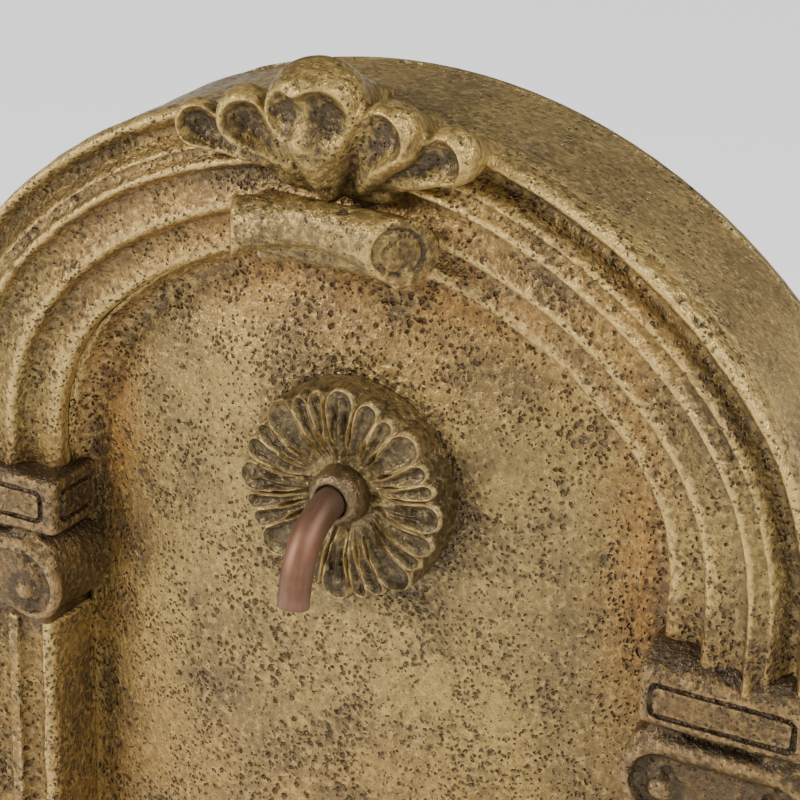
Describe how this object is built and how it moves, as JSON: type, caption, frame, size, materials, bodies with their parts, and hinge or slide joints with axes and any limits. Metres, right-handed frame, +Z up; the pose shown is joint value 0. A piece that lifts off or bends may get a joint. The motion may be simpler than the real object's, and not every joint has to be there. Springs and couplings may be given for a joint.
{
  "type": "floor fountain",
  "caption": "Floor fountain with a bow-front basin, an arched niche between pilasters, a leaf rosette with a bent copper spout, a palmette crest and a pump behind a rear door.",
  "frame": {"origin": "on the floor under the middle of the basin's footprint", "axes": "+Z up, the niche and spout face -Y, +X to the viewer's right"},
  "size_m": [0.56, 0.4399, 1.128],
  "materials": {
    "patina_casting": "satin",
    "rear_sheet": "matte",
    "copper": "satin",
    "dark_bronze": "satin",
    "brass": "satin",
    "black_rubber": "matte",
    "clear_hose": "gloss",
    "pump_plastic": "satin",
    "rotor_plastic": "satin",
    "ceramic_bearing": "polished",
    "steel": "satin"
  },
  "bodies": {
    "fountain": {"plinth": "patina_casting", "tower_casting": "patina_casting", "arch_moulding": "patina_casting", "right_pilaster": "patina_casting", "left_pilaster": "patina_casting", "right_pilaster_base": "patina_casting", "left_pilaster_base": "patina_casting", "right_capital": "patina_casting", "left_capital": "patina_casting", "scroll_keystone": "patina_casting", "palmette_crest": "patina_casting", "rosette": "patina_casting", "basin": "patina_casting", "rear_cover": "rear_sheet", "spout_collar": "dark_bronze", "bulkhead_elbow": "brass", "bulkhead_locknut": "brass", "frame_leaves": "brass", "floor_pads": "black_rubber", "spout_seal": "black_rubber", "bulkhead_washer": "black_rubber", "hose_grommet": "black_rubber", "pump_feet": "black_rubber", "supply_hose": "clear_hose", "pump_body": "pump_plastic", "pump_volute": "pump_plastic", "hose_clips": "pump_plastic", "pump_shaft": "ceramic_bearing", "shaft_bushes": "ceramic_bearing", "rear_cover_screws": "steel", "lower_hose_clamp": "steel", "upper_hose_clamp": "steel", "hinge_pins": "steel", "turn_button_screw": "steel", "tower_brackets": "steel", "bracket_bolts": "steel"},
    "spout": {"spout_tube": "copper"},
    "impeller": {"impeller": "rotor_plastic"},
    "strainer": {"strainer": "pump_plastic"},
    "flow_slider": {"flow_slider": "pump_plastic"},
    "pump_cover": {"pump_cover": "patina_casting"},
    "access_door": {"access_door": "patina_casting", "door_leaves": "brass", "cord_grommet": "black_rubber"},
    "turn_button": {"turn_button": "brass"},
    "drain_plug": {"drain_plug": "black_rubber"}
  },
  "joints": [
    {"name": "spout_swivel", "type": "hinge", "parent": "fountain", "child": "spout", "pos_m": [0, 0.12, 0.899], "axis": [0, 1, 0], "range_deg": [-20, 20]},
    {"name": "impeller_spin", "type": "hinge", "parent": "fountain", "child": "impeller", "pos_m": [0, 0.05, 0.165], "axis": [0, 1, 0], "continuous": true},
    {"name": "strainer_pull", "type": "slide", "parent": "fountain", "child": "strainer", "axis": [0, -1, 0], "range_m": [0, 0.014]},
    {"name": "flow_slide", "type": "slide", "parent": "strainer", "child": "flow_slider", "axis": [0, 0, 1], "range_m": [0, 0.008]},
    {"name": "pump_cover_lift", "type": "slide", "parent": "fountain", "child": "pump_cover", "axis": [0, 0, 1], "range_m": [0, 0.15]},
    {"name": "access_door_hinge", "type": "hinge", "parent": "fountain", "child": "access_door", "pos_m": [-0.1, 0.2118, 0.215], "axis": [0, 0, 1], "range_deg": [0, 110]},
    {"name": "turn_button_turn", "type": "hinge", "parent": "fountain", "child": "turn_button", "pos_m": [0.112, 0.21, 0.226], "axis": [0, 1, 0], "range_deg": [0, 90]},
    {"name": "drain_plug_pull", "type": "slide", "parent": "fountain", "child": "drain_plug", "axis": [1, 0, 0], "range_m": [0, 0.025]}
  ]
}
